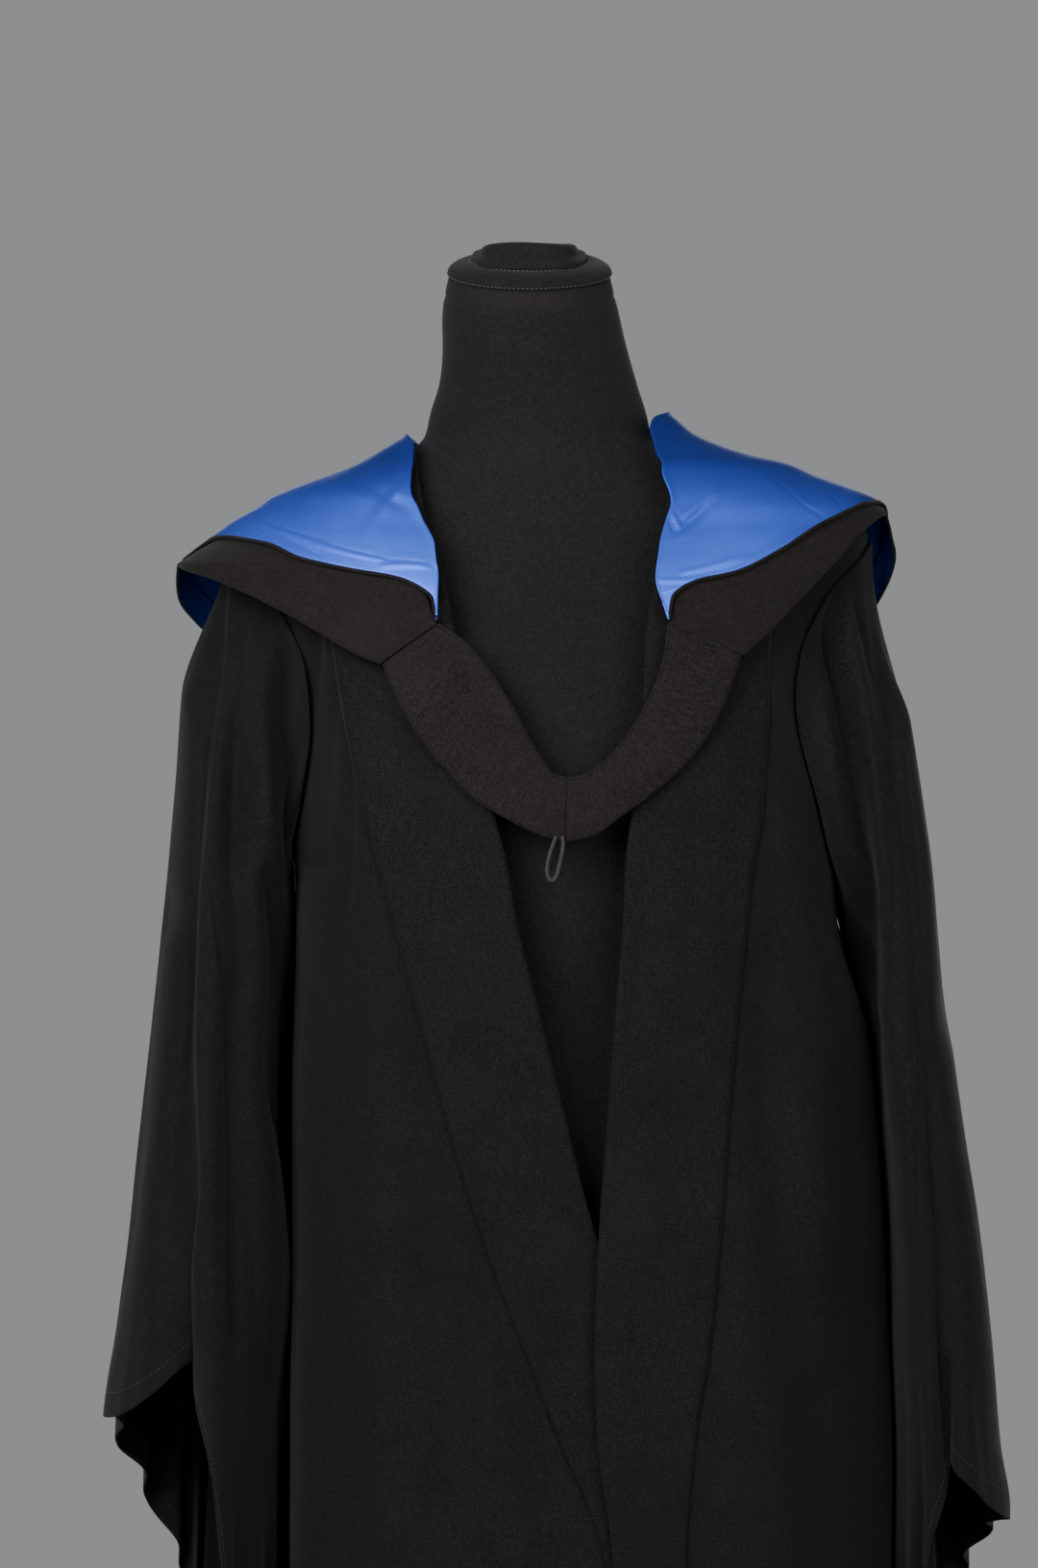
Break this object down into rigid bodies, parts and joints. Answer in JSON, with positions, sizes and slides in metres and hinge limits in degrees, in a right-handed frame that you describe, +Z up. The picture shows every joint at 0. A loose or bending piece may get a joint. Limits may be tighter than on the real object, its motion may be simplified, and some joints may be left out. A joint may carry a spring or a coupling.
{
  "type": "graduation gown with academic hood on a limbless dress form and stand",
  "caption": "Open-front black gown with long gathered bell sleeves, broad front bands and a satin-lined hood, on a limbless dress form and stand.",
  "frame": {"origin": "centre of the stand base's underside, on the floor", "axes": "+Z up along the pole, -Y towards the open front of the gown, +X towards the viewer's right"},
  "size_m": [0.6135, 0.4319, 1.6209],
  "materials": {
    "gown_cloth": "matte black woven gown cloth",
    "hood_cloth": "matte black ribbed hood cloth",
    "satin_lining": "bright blue satin",
    "form_cover": "black stretch jersey",
    "stand_metal": "satin black paint"
  },
  "bodies": {
    "root": {"gown_back": "gown_cloth", "gown_front_left": "gown_cloth", "gown_front_right": "gown_cloth", "gown_band_left": "gown_cloth", "gown_band_right": "gown_cloth", "gown_sleeve_left": "gown_cloth", "gown_sleeve_right": "gown_cloth", "hood_shell_left": "hood_cloth", "hood_shell_right": "hood_cloth", "hood_neckband_left": "hood_cloth", "hood_neckband_right": "hood_cloth", "hood_loop": "hood_cloth", "hood_lining_left": "satin_lining", "hood_lining_right": "satin_lining", "form_torso": "form_cover", "form_neck_disc": "form_cover", "form_neck_cap": "form_cover", "stand_base": "stand_metal", "stand_collar": "stand_metal", "stand_pole": "stand_metal", "stand_socket": "stand_metal"}
  },
  "joints": []
}
